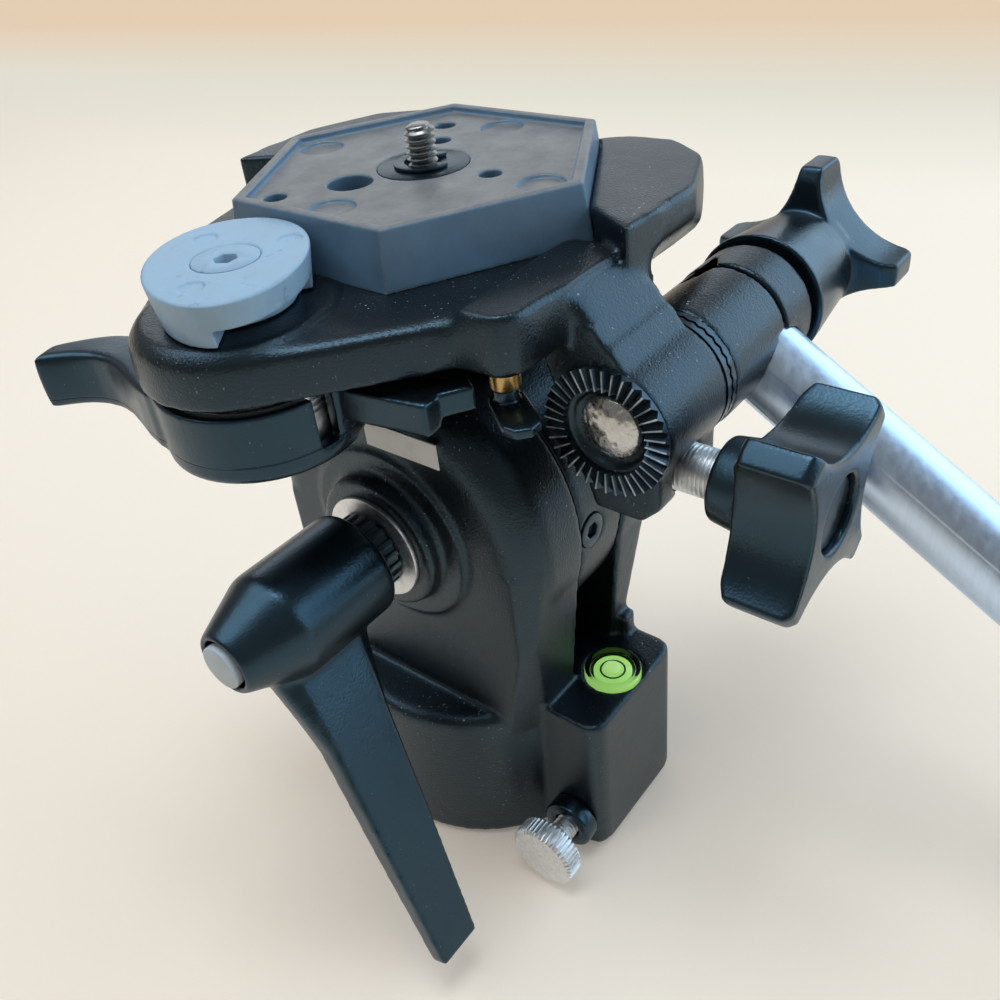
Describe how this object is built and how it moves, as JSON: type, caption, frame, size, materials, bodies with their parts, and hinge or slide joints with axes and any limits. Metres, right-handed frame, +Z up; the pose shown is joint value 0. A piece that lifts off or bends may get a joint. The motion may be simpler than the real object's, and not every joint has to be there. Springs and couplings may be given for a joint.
{
  "type": "fluid video head",
  "caption": "Fluid pan and tilt head with a hexagonal quick-release plate, ratchet tilt lock lever, wing knobs, bullseye level and a tubular pan handle.",
  "frame": {"origin": "middle of the base's underside, at the mouth of the tripod thread", "axes": "+Z up along the pan axis, +Y forward to the lens, +X to the operator's right along the tilt axis"},
  "size_m": [0.1581, 0.2791, 0.1685],
  "materials": {
    "black_paint": "black textured paint on a casting",
    "black_plastic": "moulded, lightly grained",
    "plate_charcoal": "charcoal paint, worn at the edges",
    "cam_grey": "pale blue-grey paint",
    "steel": "plated, satin",
    "tube_aluminium": "clear anodised, drawn",
    "brass": "plain",
    "bronze": "oiled bearing bronze",
    "damper_grey": "moulded cartridge",
    "grip_rubber": "ribbed rubber",
    "clear": "clear acrylic",
    "level_green": "fluorescent green fluid",
    "label_white": "blank label",
    "cap_grey": "pale grey insert"
  },
  "bodies": {
    "base": {"tripod_plate": "black_paint", "thread_insert": "steel", "pan_spindle": "steel", "spindle_screws": "steel"},
    "body": {"housing": "black_paint", "pan_bush": "bronze", "pan_retainer": "steel", "retainer_screws": "steel", "near_bush": "bronze", "far_bush": "bronze", "flange_washer": "steel", "side_cover": "black_plastic", "cover_screws": "steel", "level_vial": "clear", "level_fluid": "level_green", "label_plate": "label_white", "pan_boss": "black_plastic", "pan_shoe": "brass"},
    "pan_lock": {"pan_screw": "steel"},
    "tilt_head": {"tilt_drum": "black_paint", "tilt_shaft": "steel", "damper": "damper_grey", "drum_screw": "black_plastic", "platform": "black_paint", "platform_screws": "steel", "near_rosette": "black_plastic", "far_rosette": "black_plastic", "clamp_bolt": "steel", "hex_plate": "plate_charcoal", "plate_ring": "black_plastic", "catch_spring": "steel"},
    "camera_bolt": {"camera_screw": "steel"},
    "quick_release": {"qr_cam": "cam_grey", "cam_screw": "cam_grey", "qr_shaft": "steel", "qr_lever": "black_plastic", "lever_washers": "steel"},
    "catch": {"catch_pin": "brass", "catch_tab": "black_plastic"},
    "tilt_lock": {"lock_insert": "black_plastic", "lock_screw": "steel", "lock_spring": "steel"},
    "lock_handle": {"lock_lever": "black_plastic", "lock_cap": "cap_grey"},
    "drag": {"drag_stud": "steel", "drag_knob": "black_plastic", "drag_cap": "black_plastic"},
    "pan_handle": {"clamp_rosette": "black_plastic", "clamp_inner": "black_paint", "clamp_outer": "black_paint", "handle_tube": "tube_aluminium", "handle_grip": "grip_rubber", "grip_cap": "black_plastic"},
    "star": {"clamp_washer": "steel", "star_knob": "black_plastic", "star_cap": "black_plastic"}
  },
  "joints": [
    {"name": "pan", "type": "hinge", "parent": "base", "child": "body", "pos_m": [0, 0, 0], "axis": [0, 0, 1], "continuous": true},
    {"name": "pan_lock_turn", "type": "hinge", "parent": "body", "child": "pan_lock", "pos_m": [0, -0.0405, 0.01], "axis": [-1, 0, 0], "range_deg": [-90, 180]},
    {"name": "tilt", "type": "hinge", "parent": "body", "child": "tilt_head", "pos_m": [0, 0, 0.088], "axis": [1, 0, 0], "range_deg": [-75, 45]},
    {"name": "camera_bolt_turn", "type": "hinge", "parent": "tilt_head", "child": "camera_bolt", "pos_m": [0.0115, 0.0087, 0.15], "axis": [0, 0, 1], "continuous": true},
    {"name": "quick_release_turn", "type": "hinge", "parent": "tilt_head", "child": "quick_release", "pos_m": [-0.0418, 0.0087, 0.14], "axis": [0, 0, 1], "range_deg": [0, 35]},
    {"name": "catch_press", "type": "slide", "parent": "tilt_head", "child": "catch", "axis": [0, 0, 1], "range_m": [0, 0.003], "stiffness_N_per_m": 400, "springref_m": -0.002, "deforming": ["catch_spring"]},
    {"name": "tilt_lock_turn", "type": "hinge", "parent": "body", "child": "tilt_lock", "pos_m": [0, 0, 0.088], "axis": [-1, 0, 0], "range_deg": [-60, 60]},
    {"name": "lock_handle_pull", "type": "slide", "parent": "tilt_lock", "child": "lock_handle", "axis": [-1, 0, 0], "range_m": [0, 0.005], "stiffness_N_per_m": 600, "springref_m": -0.004, "deforming": ["lock_spring"]},
    {"name": "drag_turn", "type": "hinge", "parent": "tilt_head", "child": "drag", "pos_m": [0, -0.07, 0.112], "axis": [0, -1, 0], "range_deg": [-90, 270]},
    {"name": "handle_swing", "type": "hinge", "parent": "tilt_head", "child": "pan_handle", "pos_m": [0, -0.0496, 0.1228], "axis": [1, 0, 0], "range_deg": [-75, 30]},
    {"name": "star_turn", "type": "hinge", "parent": "tilt_head", "child": "star", "pos_m": [0.06, -0.0496, 0.1228], "axis": [1, 0, 0], "range_deg": [-90, 270]}
  ]
}
